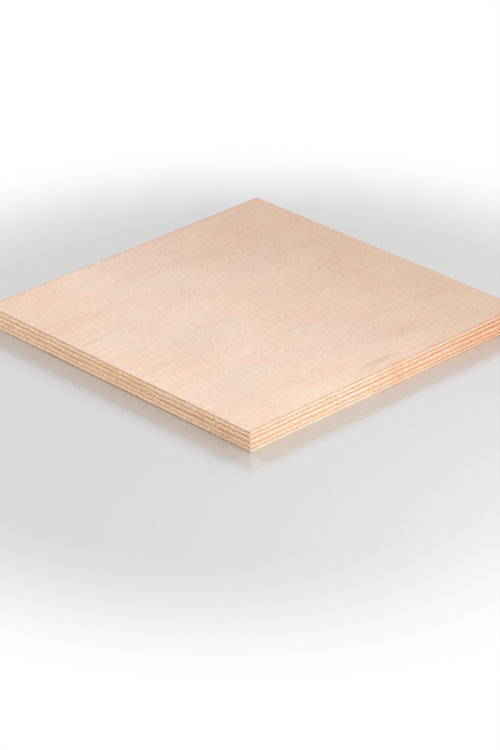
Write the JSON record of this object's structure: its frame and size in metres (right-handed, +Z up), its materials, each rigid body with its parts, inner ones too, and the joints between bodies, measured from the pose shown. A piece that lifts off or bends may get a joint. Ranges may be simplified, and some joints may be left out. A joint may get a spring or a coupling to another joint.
{
  "type": "plywood sheet",
  "caption": "Square cut panel of cross-banded plywood with pale rotary-cut face and back veneers and bare sawn edges, lying flat.",
  "frame": {"origin": "middle of the underside, which is the back veneer's outer face", "axes": "+X along the grain of the face veneer, +Y across it, +Z up through the thickness, towards the face veneer"},
  "size_m": [0.305, 0.305, 0.0175],
  "materials": {
    "face_veneer": "sanded bare veneer, pale and slightly pink, grain along X",
    "long_band": "bare veneer, grain along X, so its ends show dark on the two sides square to X",
    "crossband": "bare veneer, grain along Y, so its ends show dark on the two sides square to Y"
  },
  "bodies": {
    "root": {"face_veneer": "face_veneer", "crossband_2": "crossband", "long_band_3": "long_band", "crossband_4": "crossband", "centre_ply_5": "long_band", "crossband_6": "crossband", "long_band_7": "long_band", "crossband_8": "crossband", "back_veneer": "face_veneer"}
  },
  "joints": []
}
